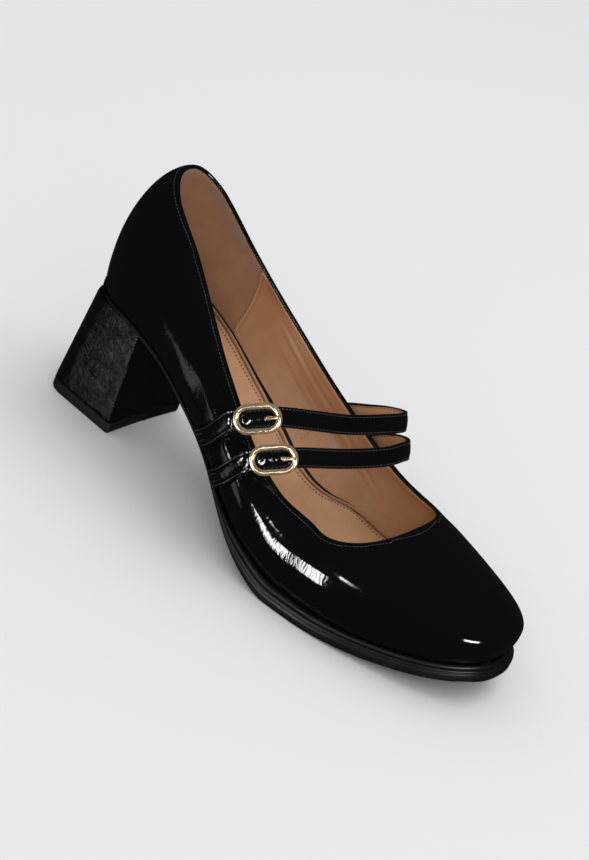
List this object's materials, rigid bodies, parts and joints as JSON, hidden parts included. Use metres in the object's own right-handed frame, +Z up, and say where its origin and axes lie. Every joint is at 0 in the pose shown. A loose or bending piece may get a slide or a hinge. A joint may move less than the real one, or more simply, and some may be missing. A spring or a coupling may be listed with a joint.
{
  "type": "mary jane pump",
  "caption": "Women's right mary jane pump in black patent leather with a block heel, buckled instep straps, square toe and tan lining",
  "frame": {"origin": "Centre of the heel's ground face, on the floor plane", "axes": "+X from heel to toe, +Y to the inner (medial) side of the foot, +Z up from the floor"},
  "size_m": [0.2496, 0.0938, 0.1233],
  "materials": {
    "patent": "gloss",
    "sole_rubber": "satin",
    "heel_rubber": "matte",
    "lining": "satin",
    "gold": "polished"
  },
  "bodies": {
    "root": {"upper": "patent", "outsole": "sole_rubber", "insole": "lining", "heel_block": "patent", "heel_top_piece": "heel_rubber", "strap_rear": "patent", "tab_rear": "patent", "buckle_rear": "gold", "prong_rear": "gold", "strap_front": "patent", "tab_front": "patent", "buckle_front": "gold", "prong_front": "gold"}
  },
  "joints": []
}
